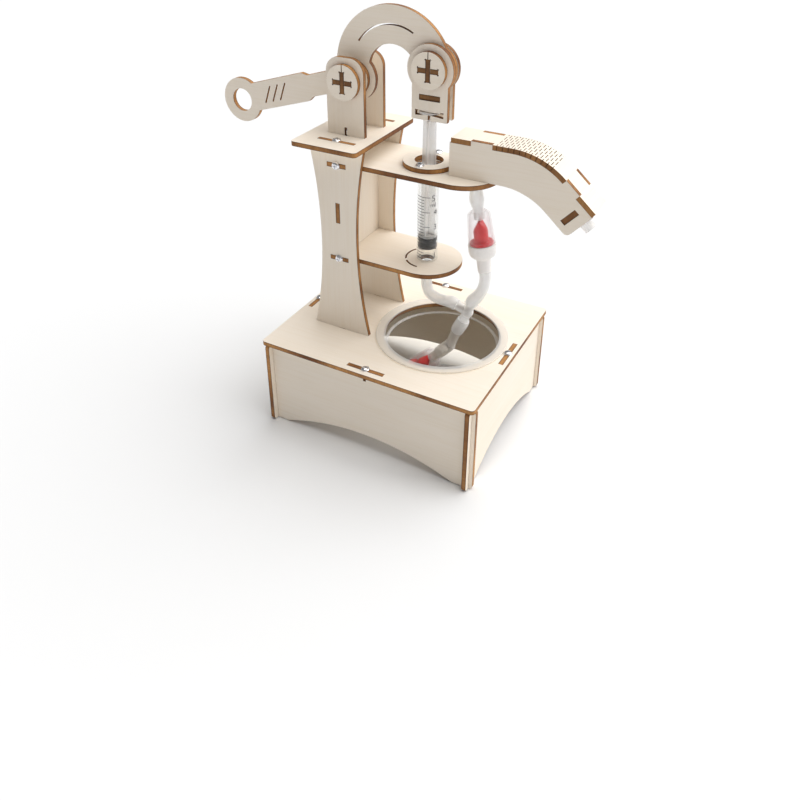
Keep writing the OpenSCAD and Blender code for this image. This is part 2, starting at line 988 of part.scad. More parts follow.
module valve_cap(seam, lean, stub_end)
    color("white")
        valve_frame(seam, lean)
            rotate_extrude()
                polygon([
                    [0, -stub_end], [4.2, -stub_end], [4.4, -10.4], [5, -9.4], [7.8, -7],
                    [8.5, -4.6], [8.5, 0], [0, 0]
                ]);

// A flange and a round sleeve that narrows to a flat beak
module duckbill(seam, lean) {
    beak_r = 4.4;
    beak_turn = -18;
    color("crimson")
        valve_frame(seam, lean)
            rotate([0, 0, beak_turn]) {
                cylinder(h = 1.4, r = 7.1);
                intersection() {
                    cylinder(h = 15, r = beak_r);
                    translate([0, beak_r + 1, 0])
                        rotate([90, 0, 0])
                            linear_extrude(2 * beak_r + 2)
                                polygon([[-5, 1], [5, 1], [5, 6], [0.7, 15], [-0.7, 15], [-5, 6]]);
                }
            }
}

// ---------- screws ----------

module base_screws()
    color("silver")
        for (side = [-1, 1]) {
            placed(y = side * panel_y, z = plate_top)
                screw(7.5);
            placed(x = side * panel_x, z = plate_top)
                screw(7.5);
        }

module cap_screws()
    color("silver")
        for (side = [-1, 1])
            placed(x = column_x, y = side * column_y, z = cap_top)
                screw(7.5);

module post_screws()
    color("silver")
        for (side = [-1, 1])
            placed(x = column_x, y = side * post_y, z = cap_top - t)
                rotate([180, 0, 0])
                    screw(7.5);

module shelf_screws()
    color("silver")
        for (side = [-1, 1], z = [lower_top, upper_top])
            placed(x = column_x, y = side * (column_y + t / 2), z = z - t / 2)
                rotate([-side * 90, 0, 0])
                    screw(7.5);

module collar_screws()
    color("silver")
        for (side = [-1, 1])
            placed(x = syringe_x, y = side * collar_screw_r, z = upper_top + t)
                screw(5.6);

base_plate();
long_panel(-1);  // front_panel
long_panel(1);  // back_panel
end_panel(-1);  // left_panel
end_panel(1);  // right_panel
water_cup();
column_plate(-1);  // front_column_plate
column_plate(1);  // back_column_plate
column_web();
cap_plate();
post(-1);  // front_post
post(1);  // back_post
upper_shelf();
lower_shelf();
collar_ring();
spout_side(-1);  // front_spout_side
spout_side(1);  // back_spout_side
spout_top();
spout_crosspiece();
axle_at(column_x, pivot_z, 2 * pivot_disc_y + t, false);  // pivot_axle_flat
axle_at(column_x, pivot_z, 2 * pivot_disc_y + t, true);  // pivot_axle_upright
pivot_disc(-pivot_disc_y);  // front_pivot_disc
pivot_disc(pivot_disc_y);  // back_pivot_disc
pivot_disc(-spacer_y);  // front_spacer_disc
pivot_disc(spacer_y);  // back_spacer_disc
syringe_barrel();
plunger_rod();
plunger_seal();
color(frosted) hose(SYRINGE_ROUTE);  // syringe_hose
color(frosted) hose(RISER_ROUTE);  // riser_hose
color(frosted) hose(LOWER_ROUTE);  // lower_hose
color(clear) hose(INTAKE_ROUTE);  // intake_tube
color(frosted) hose(SPOUT_ROUTE);  // spout_hose
tee_fitting();
valve_body(valve_seam, valve_tilt);  // outlet_valve_body
valve_cap(valve_seam, valve_tilt, outlet_stub_end);  // outlet_valve_cap
duckbill(valve_seam, valve_tilt);  // outlet_duckbill
valve_body(intake_seam, intake_tilt);  // intake_valve_body
valve_cap(intake_seam, intake_tilt, intake_stub_end);  // intake_valve_cap
duckbill(intake_seam, intake_tilt);  // intake_duckbill
base_screws();
cap_screws();
post_screws();
shelf_screws();
collar_screws();
lever_arm();
link_plate(-1);  // front_link_plate
link_plate(1);  // back_link_plate
link_spacer();
axle_at(link_x, link_z, 2 * link_disc_y + t, false);  // link_axle_flat
axle_at(link_x, link_z, 2 * link_disc_y + t, true);  // link_axle_upright
link_disc(-link_disc_y);  // front_link_disc
link_disc(link_disc_y);  // back_link_disc
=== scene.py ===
"""Looks for the hand pump model kit: laser-cut plywood boards, clear and frosted plastic, screws.
"""

import math

import bmesh
import bpy
from mathutils import Matrix, Vector


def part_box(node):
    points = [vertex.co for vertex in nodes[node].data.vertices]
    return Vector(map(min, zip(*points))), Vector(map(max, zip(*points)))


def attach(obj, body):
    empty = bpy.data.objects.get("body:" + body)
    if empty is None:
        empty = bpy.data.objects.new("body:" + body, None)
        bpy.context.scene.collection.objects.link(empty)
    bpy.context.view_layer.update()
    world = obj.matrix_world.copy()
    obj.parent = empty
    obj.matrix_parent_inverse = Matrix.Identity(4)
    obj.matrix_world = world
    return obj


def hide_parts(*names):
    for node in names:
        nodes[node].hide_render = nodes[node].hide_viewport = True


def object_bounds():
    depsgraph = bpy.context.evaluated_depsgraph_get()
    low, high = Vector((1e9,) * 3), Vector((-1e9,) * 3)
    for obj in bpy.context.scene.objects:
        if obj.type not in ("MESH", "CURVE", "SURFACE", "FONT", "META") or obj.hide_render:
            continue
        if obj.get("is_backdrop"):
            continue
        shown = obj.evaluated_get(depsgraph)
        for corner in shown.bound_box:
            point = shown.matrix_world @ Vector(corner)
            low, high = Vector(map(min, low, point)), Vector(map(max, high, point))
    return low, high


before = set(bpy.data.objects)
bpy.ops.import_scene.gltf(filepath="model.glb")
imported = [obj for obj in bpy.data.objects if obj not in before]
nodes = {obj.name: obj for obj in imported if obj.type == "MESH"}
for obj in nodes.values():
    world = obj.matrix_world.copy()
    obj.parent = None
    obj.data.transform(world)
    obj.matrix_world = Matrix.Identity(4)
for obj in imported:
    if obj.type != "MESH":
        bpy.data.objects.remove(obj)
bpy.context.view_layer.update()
scene = bpy.context.scene

MM = 0.001
plate_low, plate_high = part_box("base_plate")
KIT_X = (plate_low.x + plate_high.x) / 2
PLY = 3.0


# ---------- places ----------


def kit_box(node):
    return [((v - Vector((KIT_X, 0, 0))) / MM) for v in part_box(node)]


def middle(node):
    low, high = kit_box(node)
    return (low + high) / 2


def kit_frame(x, z, lean=0.0):
    """A frame at (x, 0, z) whose Z axis leans from upright towards -X by lean degrees."""
    return Matrix.Translation((x, 0, z)) @ Matrix.Rotation(math.radians(-lean), 4, "Y")


# ---------- mesh pieces ----------


def make_piece(name, verts, faces, material, body="root", stands_for=(), place=None, sharp=35):
    """A mesh piece from points in millimetres. material is one material or (materials, index per face)."""
    place = place or Matrix.Identity(4)
    to_row = Matrix.Translation((KIT_X, 0, 0)) @ Matrix.Scale(MM, 4)
    mesh = bpy.data.meshes.new(name)
    mesh.from_pydata([to_row @ (place @ Vector(v)) for v in verts], [], faces)
    if isinstance(material, tuple):
        for one in material[0]:
            mesh.materials.append(one)
        mesh.polygons.foreach_set("material_index", material[1])
    else:
        mesh.materials.append(material)
    bm = bmesh.new()
    bm.from_mesh(mesh)
    bmesh.ops.remove_doubles(bm, verts=bm.verts, dist=1e-7)
    bmesh.ops.recalc_face_normals(bm, faces=bm.faces)
    bm.to_mesh(mesh)
    bm.free()
    mesh.shade_smooth()
    mesh.set_sharp_from_angle(angle=math.radians(sharp))
    piece = bpy.data.objects.new(name, mesh)
    scene.collection.objects.link(piece)
    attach(piece, body)
    if stands_for:
        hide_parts(*stands_for)
    return piece


# The most of a side that one corner's rounding may take
MOST_REACH = 0.49


def filleted(outline, steps=5):
    """The closed outline of (r, z, radius) corners with each corner rounded, by less than half a side."""
    points = []
    for i, (r, z, radius) in enumerate(outline):
        here = Vector((r, z))
        if radius <= 0:
            points.append((r, z))
            continue
        before = Vector(outline[i - 1][:2]) - here
        after = Vector(outline[(i + 1) % len(outline)][:2]) - here
        half = before.angle(after) / 2
        reach = min(radius / math.tan(half), MOST_REACH * before.length, MOST_REACH * after.length)
        start, end = here + before.normalized() * reach, here + after.normalized() * reach
        for k in range(steps + 1):
            s = k / steps
            p = start * (1 - s) ** 2 + here * 2 * s * (1 - s) + end * s**2
            points.append((p.x, p.y))
    return points


def lathe(outline, segments=96):
    """(verts, faces) of a closed outline of (r, z) turned about Z."""
    verts, rings, faces = [], [], []
    for r, z in outline:
        if r < 1e-6:
            rings.append([len(verts)])
            verts.append((0, 0, z))
            continue
        rings.append(list(range(len(verts), len(verts) + segments)))
        for k in range(segments):
            a = 2 * math.pi * k / segments
            verts.append((r * math.cos(a), r * math.sin(a), z))
    for a, b in zip(rings, rings[1:] + rings[:1]):
        if len(a) == 1 and len(b) == 1:
            continue
        for k in range(segments):
            n = (k + 1) % segments
            face = [a[k % len(a)], a[n % len(a)], b[n % len(b)], b[k % len(b)]]
            faces.append(list(dict.fromkeys(face)))
    return verts, faces


def smooth_route(route, per_leg=6):
    """Points of a Catmull-Rom curve through a route of (x, z, radius)."""
    line = [Vector(p) for p in route]
    line = [2 * line[0] - line[1]] + line + [2 * line[-1] - line[-2]]
    out = []
    for a, b, c, d in zip(line, line[1:], line[2:], line[3:]):
        for k in range(per_leg):
            s = k / per_leg
            slope = c - a
            bend = 2 * a - 5 * b + 4 * c - d
            twist = 3 * b - a - 3 * c + d
            out.append(0.5 * (2 * b + slope * s + bend * s**2 + twist * s**3))
    out.append(line[-2])
    return out


# How much a hose's ends are eased
HOSE_LIP = 0.25


def make_hose(name, route, wall, material, sides=40):
    """An open tube along a route of (x, z, radius) in the plane y = 0, with its bore."""
    line = smooth_route(route)
    verts, faces, rings = [], [], []

    def ring(p, heading, r):
        rings.append(list(range(len(verts), len(verts) + sides)))
        for k in range(sides):
            a = 2 * math.pi * k / sides
            out = r * math.cos(a)
            verts.append((p.x - heading.y * out, r * math.sin(a), p.y + heading.x * out))

    headings = []
    for i, p in enumerate(line):
        a, b = line[max(i - 1, 0)], line[min(i + 1, len(line) - 1)]
        headings.append(Vector((b.x - a.x, b.y - a.y)).normalized())
    last = len(line) - 1
    for i, (p, h) in enumerate(zip(line, headings)):
        r = p.z
        if i == 0:
            ring(p, h, r - HOSE_LIP)
            ring(p + HOSE_LIP * Vector((h.x, h.y, 0)), h, r)
        elif i == last:
            ring(p - HOSE_LIP * Vector((h.x, h.y, 0)), h, r)
            ring(p, h, r - HOSE_LIP)
        else:
            ring(p, h, r)
    for p, h in zip(reversed(line), reversed(headings)):
        ring(p, h, p.z - wall)
    for a, b in zip(rings, rings[1:] + rings[:1]):
        for k in range(sides):
            n = (k + 1) % sides
            faces.append((a[k], a[n], b[n], b[k]))
    return make_piece(name, verts, faces, material, stands_for=[name.replace("_shown", "")])


# ---------- materials ----------


def rgb(r, g, b):
    """A colour from its 0 to 255 screen values."""
    return tuple(((v / 255 + 0.055) / 1.055) ** 2.4 if v > 10 else v / 255 / 12.92 for v in (r, g, b)) + (1,)


class Nodes:
    """A material's node tree with a Principled shader in it."""

    def __init__(self, name):
        self.material = bpy.data.materials.new(name)
        self.material.use_nodes = True
        self.tree = self.material.node_tree
        self.tree.nodes.clear()
        self.out = self.add("OutputMaterial")
        self.shader = self.add("BsdfPrincipled")
        self.link(self.shader.outputs[0], self.out.inputs["Surface"])

    def add(self, kind, **settings):
        node = self.tree.nodes.new("ShaderNode" + kind)
        for key, value in settings.items():
            setattr(node, key, value)
        return node

    def link(self, a, b):
        self.tree.links.new(a, b)

    def set(self, **values):
        for key, value in values.items():
            self.shader.inputs[key.replace("_", " ")].default_value = value
        return self

    def feed(self, socket, value):
        if hasattr(value, "is_output"):
            self.link(value, socket)
        else:
            socket.default_value = value

    def math(self, operation, a, b=0.0, clamp=False):
        node = self.add("Math", operation=operation, use_clamp=clamp)
        self.feed(node.inputs[0], a)
        self.feed(node.inputs[1], b)
        return node.outputs[0]

    def mix(self, share, a, b, blend="MIX"):
        node = self.add("Mix", data_type="RGBA", blend_type=blend)
        self.feed(node.inputs["Factor"], share)
        self.feed(node.inputs[6], a)
        self.feed(node.inputs[7], b)
        return node.outputs[2]

    def step(self, value, low, high):
        """0 below low, 1 above high, smooth between."""
        node = self.add("MapRange", interpolation_type="SMOOTHSTEP")
        self.feed(node.inputs[0], value)
        node.inputs[1].default_value = low
        node.inputs[2].default_value = high
        return node.outputs[0]

    def noise(self, place, scale, detail=3.0, rough=0.5, seed=0.0):
        """Noise stretched by scale, a number per axis, in cells per metre."""
        mapping = self.add("Mapping")
        self.feed(mapping.inputs["Vector"], place)
        mapping.inputs["Scale"].default_value = scale
        mapping.inputs["Location"].default_value = (seed, seed * 1.7, seed * 0.6)
        noise = self.add("TexNoise")
        noise.inputs["Scale"].default_value = 1.0
        noise.inputs["Detail"].default_value = detail
        noise.inputs["Roughness"].default_value = rough
        self.link(mapping.outputs[0], noise.inputs["Vector"])
        return noise.outputs[0]

    def bump(self, height, strength, distance):
        node = self.add("Bump")
        node.inputs["Strength"].default_value = strength
        node.inputs["Distance"].default_value = distance
        self.link(height, node.inputs["Height"])
        self.link(node.outputs[0], self.shader.inputs["Normal"])


FACE = rgb(246, 235, 220)
FACE_DARK = rgb(240, 226, 206)
FLECK = rgb(228, 206, 176)
BURN = rgb(38, 20, 11)
BURN_MID = rgb(118, 70, 37)
BURN_LIGHT = rgb(200, 144, 84)
# Where a glue line lies, from 0 at a board's middle to 1 at its face
GLUE_DEPTH = 0.36


def wood_face(m, place, grain, axis, seed):
    """The pale sanded face: faint grain lines, a broad drift in tone, a few small flecks."""
    def scale(along_grain, across):
        values = [across] * 3
        values[grain] = along_grain
        values[axis] = 60
        return values

    lines = m.noise(place, scale(22, 700), 4, 0.6, seed)
    broad = m.noise(place, scale(9, 40), 2, 0.5, seed + 3)
    fleck = m.noise(place, scale(150, 2600), 2, 0.6, seed + 9)
    tone = m.mix(m.math("MULTIPLY", m.step(lines, 0.4, 0.75), 0.5), FACE, FACE_DARK)
    tone = m.mix(m.math("MULTIPLY", m.step(broad, 0.4, 0.75), 0.3), tone, FACE_DARK)
    tone = m.mix(m.math("MULTIPLY", m.step(fleck, 0.68, 0.8), 0.12), tone, FLECK)
    return tone, lines


def burnt_edge(m, place, axis, depth, seed, burn_and_shade):
    """A laser-cut edge: marks along it, thin glue lines, dark rims of char that also stand for painted shade
    down narrow slits, and extra darkening (0 to 1) over it all, partly burn and partly painted shade.
    """
    values = [650.0] * 3
    values[axis] = 60.0
    streaks = m.noise(place, values, 3, 0.6, seed)
    patches = m.noise(place, (32, 32, 32), 3, 0.5, seed + 5)
    tone = m.mix(m.step(patches, 0.3, 0.7), BURN_MID, BURN_LIGHT)
    tone = m.mix(m.math("MULTIPLY", m.step(streaks, 0.35, 0.8), 0.3), tone, BURN)
    if depth is not None:
        off_glue = m.math("ABSOLUTE", m.math("SUBTRACT", depth, GLUE_DEPTH))
        glue = m.math("SUBTRACT", 1.0, m.step(off_glue, 0.03, 0.12))
        # Dark rims along both faces of a cut edge: laser char, made wide so that it also stands for painted
        # shade down narrow slits
        rim = m.step(depth, 0.56, 0.97)
        tone = m.mix(m.math("MULTIPLY", glue, 0.2), tone, BURN)
        tone = m.mix(m.math("MULTIPLY", rim, 0.8), tone, BURN)
    # The extra darkening: partly laser burn, partly painted shade in slots and cuts
    if burn_and_shade:
        tone = m.mix(burn_and_shade, tone, BURN)
    return tone, streaks


def plywood(name, axis, mid, grain, seed, burn_and_shade):
    """Plywood for a flat board whose normal is the axis (0, 1, 2), with its middle at mid metres along it."""
    m = Nodes(name)
    coordinates = m.add("TexCoord")
    place = coordinates.outputs["Object"]
    across = m.add("SeparateXYZ")
    m.link(place, across.inputs[0])
    normal = m.add("SeparateXYZ")
    m.link(coordinates.outputs["Normal"], normal.inputs[0])
    from_middle = m.math("ABSOLUTE", m.math("SUBTRACT", across.outputs[axis], mid))
    depth = m.math("DIVIDE", from_middle, 0.5 * PLY * MM)
    is_face = m.step(m.math("ABSOLUTE", normal.outputs[axis]), 0.72, 0.93)
    pale, lines = wood_face(m, place, grain, axis, seed)
    dark, streaks = burnt_edge(m, place, axis, depth, seed, burn_and_shade)
    m.link(m.mix(is_face, dark, pale), m.shader.inputs["Base Color"])
    m.set(Roughness=0.62, Specular_IOR_Level=0.3)
    m.bump(lines, 0.06, 0.0002)
    return m.material


def curved_plywood(name, kind, seed, burn_and_shade=0.0):
    """The same two looks, one material each, for a board that is bent."""
    m = Nodes(name)
    place = m.add("TexCoord").outputs["Object"]
    if kind == "face":
        tone, lines = wood_face(m, place, 1, 2, seed)
    else:
        tone, lines = burnt_edge(m, place, 2, None, seed, burn_and_shade)
    m.link(tone, m.shader.inputs["Base Color"])
    m.set(Roughness=0.62, Specular_IOR_Level=0.3)
    m.bump(lines, 0.06, 0.0002)
    return m.material


def mix_with_clear(m, share, through_tint=(1, 1, 1, 1)):
    """Let the material show by share (0 to 1), and what is behind it by the rest, tinted."""
    mixed = m.add("MixShader")
    through = m.add("BsdfTransparent")
    through.inputs[0].default_value = through_tint
    m.link(share, mixed.inputs[0])
    m.link(through.outputs[0], mixed.inputs[1])
    m.link(m.shader.outputs[0], mixed.inputs[2])
    m.link(mixed.outputs[0], m.out.inputs["Surface"])


def clear_plastic(name, tint, least, most, rough, through_tint):
    """Thin clear plastic: seen through square on, whiter and glossier towards its rims."""
    m = Nodes(name)
    m.set(Base_Color=tint, Roughness=rough, Specular_IOR_Level=0.6)
    scuffs = m.noise(m.add("TexCoord").outputs["Object"], (300, 300, 300), 4, 0.6, 2)
    facing = m.add("LayerWeight")
    facing.inputs["Blend"].default_value = 0.45
    share = m.math("ADD", m.math("MULTIPLY", facing.outputs["Facing"], most - least), least)
    share = m.math("ADD", share, m.math("MULTIPLY", m.step(scuffs, 0.55, 0.9), 0.03), clamp=True)
    mix_with_clear(m, share, through_tint)
    return m.material


def frosted(name, tint, solid, rough):
    """Milky silicone or polypropylene: partly seen through square on, solid towards its rims."""
    m = Nodes(name)
    cloud = m.noise(m.add("TexCoord").outputs["Object"], (140, 140, 140), 3, 0.5, 4)
    pale = tuple(min(1.0, v * 1.06) for v in tint[:3]) + (1,)
    m.link(m.mix(m.step(cloud, 0.3, 0.7), tint, pale), m.shader.inputs["Base Color"])
    m.set(Roughness=rough, Subsurface_Weight=0.15, Subsurface_Scale=0.002, Specular_IOR_Level=0.45)
    m.set(Subsurface_Radius=(1, 1, 1))
    m.bump(cloud, 0.05, 0.0003)
    facing = m.add("LayerWeight")
    facing.inputs["Blend"].default_value = 0.5
    share = m.math("ADD", m.math("MULTIPLY", facing.outputs["Facing"], 1 - solid), solid, clamp=True)
    mix_with_clear(m, share)
    return m.material


def solid_plastic(name, tint, shade, rough, soft=0.0):
    """Moulded plastic, rubber or print: two close tones and a fine bump."""
    m = Nodes(name)
    noise = m.noise(m.add("TexCoord").outputs["Object"], (600, 600, 600), 3, 0.5, 6)
    m.link(m.mix(m.step(noise, 0.3, 0.7), tint, shade), m.shader.inputs["Base Color"])
    m.set(Roughness=rough, Subsurface_Weight=soft, Subsurface_Scale=0.002, Specular_IOR_Level=0.5)
    m.set(Subsurface_Radius=(1, 1, 1))
    m.bump(noise, 0.08, 0.0002)
    return m.material


def screw_metal():
    """Bright zinc plate, a little uneven in tone and polish."""
    m = Nodes("screw_metal")
    noise = m.noise(m.add("TexCoord").outputs["Object"], (1500, 1500, 1500), 3, 0.5, 8)
    tone = m.mix(m.step(noise, 0.35, 0.7), rgb(246, 246, 248), rgb(214, 214, 218))
    m.link(tone, m.shader.inputs["Base Color"])
    m.link(m.math("ADD", m.math("MULTIPLY", noise, 0.2), 0.1), m.shader.inputs["Roughness"])
    m.set(Metallic=1.0)
    m.bump(noise, 0.1, 0.0001)
    return m.material


# ---------- boards: the CAD nodes, with eased edges ----------

# The axis of each board's normal, and the axis of its grain
BOARDS = {
    "base_plate": (2, 0), "front_panel": (1, 0), "back_panel": (1, 0),
    "left_panel": (0, 1), "right_panel": (0, 1),
    "front_column_plate": (1, 2), "back_column_plate": (1, 2), "column_web": (0, 2),
    "cap_plate": (2, 1), "front_post": (1, 2), "back_post": (1, 2),
    "upper_shelf": (2, 0), "lower_shelf": (2, 0), "collar_ring": (2, 0),
    "front_spout_side": (1, 0), "back_spout_side": (1, 0),
    "pivot_axle_flat": (2, 1), "pivot_axle_upright": (0, 1),
    "front_pivot_disc": (1, 0), "back_pivot_disc": (1, 0),
    "front_spacer_disc": (1, 0), "back_spacer_disc": (1, 0), "lever_arm": (1, 0),
    "front_link_plate": (1, 2), "back_link_plate": (1, 2), "link_spacer": (2, 0),
    "link_axle_flat": (2, 1), "link_axle_upright": (0, 1),
    "front_link_disc": (1, 0), "back_link_disc": (1, 0),
}  # fmt: skip

# Boards whose tab ends show in a slot; their edges are darkened, partly by laser burn and partly by painted
# shade of the slot
DARK_ENDED = ("pivot_axle_flat", "pivot_axle_upright", "link_axle_flat", "link_axle_upright", "link_spacer")
# How much darker than the other boards' edges these are, and the spout's: partly burn, partly painted shade
# in slots, notches and cuts
END_BURN_AND_SHADE = 0.5
SPOUT_BURN_AND_SHADE = 0.3
CROSSPIECE_BURN_AND_SHADE = 0.25
# How wide the edges are eased
BOARD_BEVEL = 0.18
ROD_BEVEL = 0.15


def ease_edges(node, width):
    """Weld the imported faces into whole flat ones and give every sharp edge a small bevel."""
    o = nodes[node]
    weld = o.modifiers.new("weld", "WELD")
    weld.merge_threshold = 1e-6
    flat = o.modifiers.new("flat", "DECIMATE")
    flat.decimate_type = "DISSOLVE"
    flat.angle_limit = math.radians(0.5)
    bevel = o.modifiers.new("bevel", "BEVEL")
    bevel.width = width * MM
    bevel.segments = 2
    bevel.limit_method = "ANGLE"
    bevel.angle_limit = math.radians(40)
    bevel.use_clamp_overlap = True
    normals = o.modifiers.new("normals", "WEIGHTED_NORMAL")
    normals.keep_sharp = False


def dress(node, material):
    o = nodes[node]
    o.data.materials.clear()
    o.data.materials.append(material)


for number, (name, (axis, grain)) in enumerate(BOARDS.items()):
    low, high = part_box(name)
    burn_and_shade = END_BURN_AND_SHADE if name in DARK_ENDED else 0.0
    dress(name, plywood("ply_" + name, axis, (low[axis] + high[axis]) / 2, grain, 3.1 * number, burn_and_shade))
    ease_edges(name, BOARD_BEVEL)

# The crosspiece is seen by its tab ends, so it has the look of a cut edge all over
# Its edges are darkened too: partly burn, partly painted shade where its tab ends sit in slots
dress("spout_crosspiece", curved_plywood("ply_spout_crosspiece", "edge", 5.0, CROSSPIECE_BURN_AND_SHADE))

# Each clear plastic: its tint, the least and most that it shows, its roughness, the tint seen through it
CLEAR_CUP = clear_plastic("clear_cup", rgb(226, 222, 214), 0.01, 0.16, 0.06, (0.99, 0.975, 0.94, 1))
CUP_RIM_AND_LEDGE_HIGHLIGHT = clear_plastic("cup_rim_and_ledge_highlight", rgb(244, 243, 241), 0.26, 0.8, 0.12, (0.98, 0.975, 0.965, 1))
# The cup's bottom dims what is seen through it to grey: painted shade of the floor beneath
CUP_BOTTOM_SHADE = clear_plastic("cup_bottom_painted_shade", rgb(236, 236, 236), 0.22, 0.45, 0.06, (0.8, 0.8, 0.8, 1))
CLEAR_BARREL = clear_plastic("clear_barrel", rgb(242, 243, 243), 0.01, 0.2, 0.06, (0.995, 0.995, 0.99, 1))
CLEAR_BODY = clear_plastic("clear_body", rgb(244, 241, 243), 0.02, 0.36, 0.05, (0.99, 0.985, 0.985, 1))
CLEAR_TUBE = clear_plastic("clear_tube", rgb(255, 250, 244), 0.24, 0.7, 0.1, (0.995, 0.99, 0.98, 1))
HOSE = frosted("frosted_hose", rgb(255, 253, 250), 0.25, 0.34)
FITTING = frosted("frosted_plastic", rgb(255, 252, 248), 0.36, 0.28)
WHITE = solid_plastic("white_plastic", rgb(250, 245, 241), rgb(245, 240, 236), 0.32, 0.3)
RED = solid_plastic("red_silicone", rgb(236, 10, 16), rgb(220, 6, 12), 0.28, 0.3)
BLACK = solid_plastic("black_rubber", rgb(20, 21, 21), rgb(13, 14, 14), 0.5)
INK = solid_plastic("scale_ink", rgb(58, 60, 62), rgb(70, 72, 74), 0.6)
# Dark red for the duckbill's slit: painted shade in the narrow crack
SLIT_SHADE = solid_plastic("slit_painted_shade", rgb(96, 8, 14), rgb(80, 6, 10), 0.7)
METAL = screw_metal()

for name in ("base_screws", "cap_screws", "post_screws", "shelf_screws", "collar_screws"):
    dress(name, METAL)
dress("plunger_seal", BLACK)
dress("plunger_rod", FITTING)
ease_edges("plunger_rod", ROD_BEVEL)
dress("tee_fitting", FITTING)


# ---------- cup ----------

# Heights are from the base plate's upper side, which the flange lies on
CUP_HOLE_R = 38.1
CUP_WALL = 1.0
CUP_TAPER = 4.0
LEDGE_IN = 1.3
RIM_FROM = 0.4
LEDGE_FROM, LEDGE_TO = -7.5, -5.2
# What a face of the cup is made of, by its place in the list of materials; the ledge takes the rim's whiter
# plastic as a painted highlight
WALL, RIM, BOTTOM = range(3)


def make_cup():
    """A thin tapered cup with a small ledge inside its mouth and a flat flange round it."""
    low, high = kit_box("water_cup")
    x = (low.x + high.x) / 2
    flange_r = (high.x - low.x) / 2
    plate = kit_box("base_plate")[1].z
    hole_r = CUP_HOLE_R
    depth = low.z - plate
    base_r = hole_r - CUP_TAPER
    ledge_r = hole_r - LEDGE_IN
    neck_r = hole_r - 0.45
    outline = filleted([
        (0, depth, 0), (base_r, depth, 2.2), (ledge_r, -7, 0.4), (neck_r, -6, 0.4), (hole_r, 0.15, 0),
        (flange_r, 0.15, 0.3), (flange_r, 1.2, 0.5), (hole_r - CUP_WALL, 1.2, 1.1),
        (neck_r - CUP_WALL, -5.6, 0.4), (ledge_r - CUP_WALL, -6.6, 0.4),
        (base_r - CUP_WALL, depth + CUP_WALL, 2), (0, depth + CUP_WALL, 0),
    ])  # fmt: skip
    verts, faces = lathe(outline, 128)
    kinds = []
    for face in faces:
        heights = [verts[i][2] for i in face]
        rim = min(heights) > RIM_FROM
        ledge = min(heights) > LEDGE_FROM and max(heights) < LEDGE_TO
        flat_bottom = max(heights) < depth + 1.5 * CUP_WALL
        # The ledge's faces take the flange's whiter plastic: a painted highlight along the ledge
        kinds.append(RIM if rim or ledge else BOTTOM if flat_bottom else WALL)
    place = kit_frame(x, plate)
    make_piece("cup_shown", verts, faces, ([CLEAR_CUP, CUP_RIM_AND_LEDGE_HIGHLIGHT, CUP_BOTTOM_SHADE], kinds),
               stands_for=["water_cup"], place=place, sharp=50)  # fmt: skip


make_cup()


# ---------- syringe ----------

barrel_low, barrel_high = kit_box("syringe_barrel")
BARREL_X = middle("syringe_barrel").x
BARREL_R = 6.6
BORE_R = 5.95
NOZZLE_R, NOZZLE_BORE_R = 2.2, 1.1
FLANGE_HALF_L, FLANGE_HALF_W, FLANGE_CORNER = 11.8, 6.8, 5.0
FLANGE_H, FLANGE_EASE = 2.0, 0.3
FLOOR_Z = kit_box("lower_shelf")[1].z
# The scale: the height of its zero, millimetres to a millilitre, and ticks to a millilitre
SCALE_ZERO, PER_ML, TICKS = 111.9, 9.9, 5
FIRST_TICK, LAST_TICK = 4, 25
# Where the ticks begin, and how far they reach, in degrees round the barrel; and half their width
TICK_START, LONG_TICK, SHORT_TICK = -148.0, 96, 62
TICK_HALF_W = 0.2
# Where the numbers are round the barrel, how tall they are, and how far their feet are below their ticks
NUMBER_AT, NUMBER_H, NUMBER_DROP = -22.0, 3.8, 1.8
TOP_NUMBER_AT, TOP_NUMBER_DROP = -36.0, 2.4
UNIT_H, UNIT_DROP = 2.8, 6.2
PRINT_LIFT = 0.03


def make_barrel():
    """The barrel with its bore and nozzle, and its flange with rounded corners."""
    top = barrel_high.z
    nozzle = barrel_low.z
    outline = filleted([
        (NOZZLE_BORE_R, nozzle, 0.2), (NOZZLE_R, nozzle, 0.3), (NOZZLE_R, FLOOR_Z, 0.2),
        (BARREL_R, FLOOR_Z, 0.7), (BARREL_R, top, 0.2), (BORE_R, top, 0.3),
        (BORE_R, FLOOR_Z + 1, 0.8), (NOZZLE_BORE_R, FLOOR_Z + 1, 0.2),
    ], 3)  # fmt: skip
    verts, faces = lathe(outline, 72)
    make_piece("syringe_tube", verts, faces, CLEAR_BARREL, stands_for=["syringe_barrel"],
               place=kit_frame(BARREL_X, 0), sharp=40)  # fmt: skip
    corner = FLANGE_CORNER
    rim = []
    for cx, cy, start in ((1, 1, 0), (-1, 1, 90), (-1, -1, 180), (1, -1, 270)):
        for k in range(9):
            a = math.radians(start + 90 * k / 8)
            x = cx * (FLANGE_HALF_L - corner) + corner * math.cos(a)
            y = cy * (FLANGE_HALF_W - corner) + corner * math.sin(a)
            rim.append((x, y))
    count = len(rim)
    inner = [(BARREL_R * math.cos(a), BARREL_R * math.sin(a)) for a in (math.atan2(y, x) for x, y in rim)]
    bottom = top - FLANGE_H
    ease = FLANGE_EASE
    layers = ((bottom, ease), (bottom + ease, 0), (top - ease, 0), (top, ease))
    verts = []
    for z, inset in layers:
        for x, y in rim:
            n = Vector((x, y)).normalized()
            verts.append((x - n.x * inset, y - n.y * inset, z))
    for z in (top, bottom):
        verts += [(x, y, z) for x, y in inner]
    loops = len(layers) + 2
    faces = []
    for a in range(loops):
        b = (a + 1) % loops
        for k in range(count):
            n = (k + 1) % count
            faces.append((a * count + k, a * count + n, b * count + n, b * count + k))
    make_piece("syringe_flange", verts, faces, CLEAR_BARREL,
               place=kit_frame(BARREL_X, 0), sharp=40)  # fmt: skip


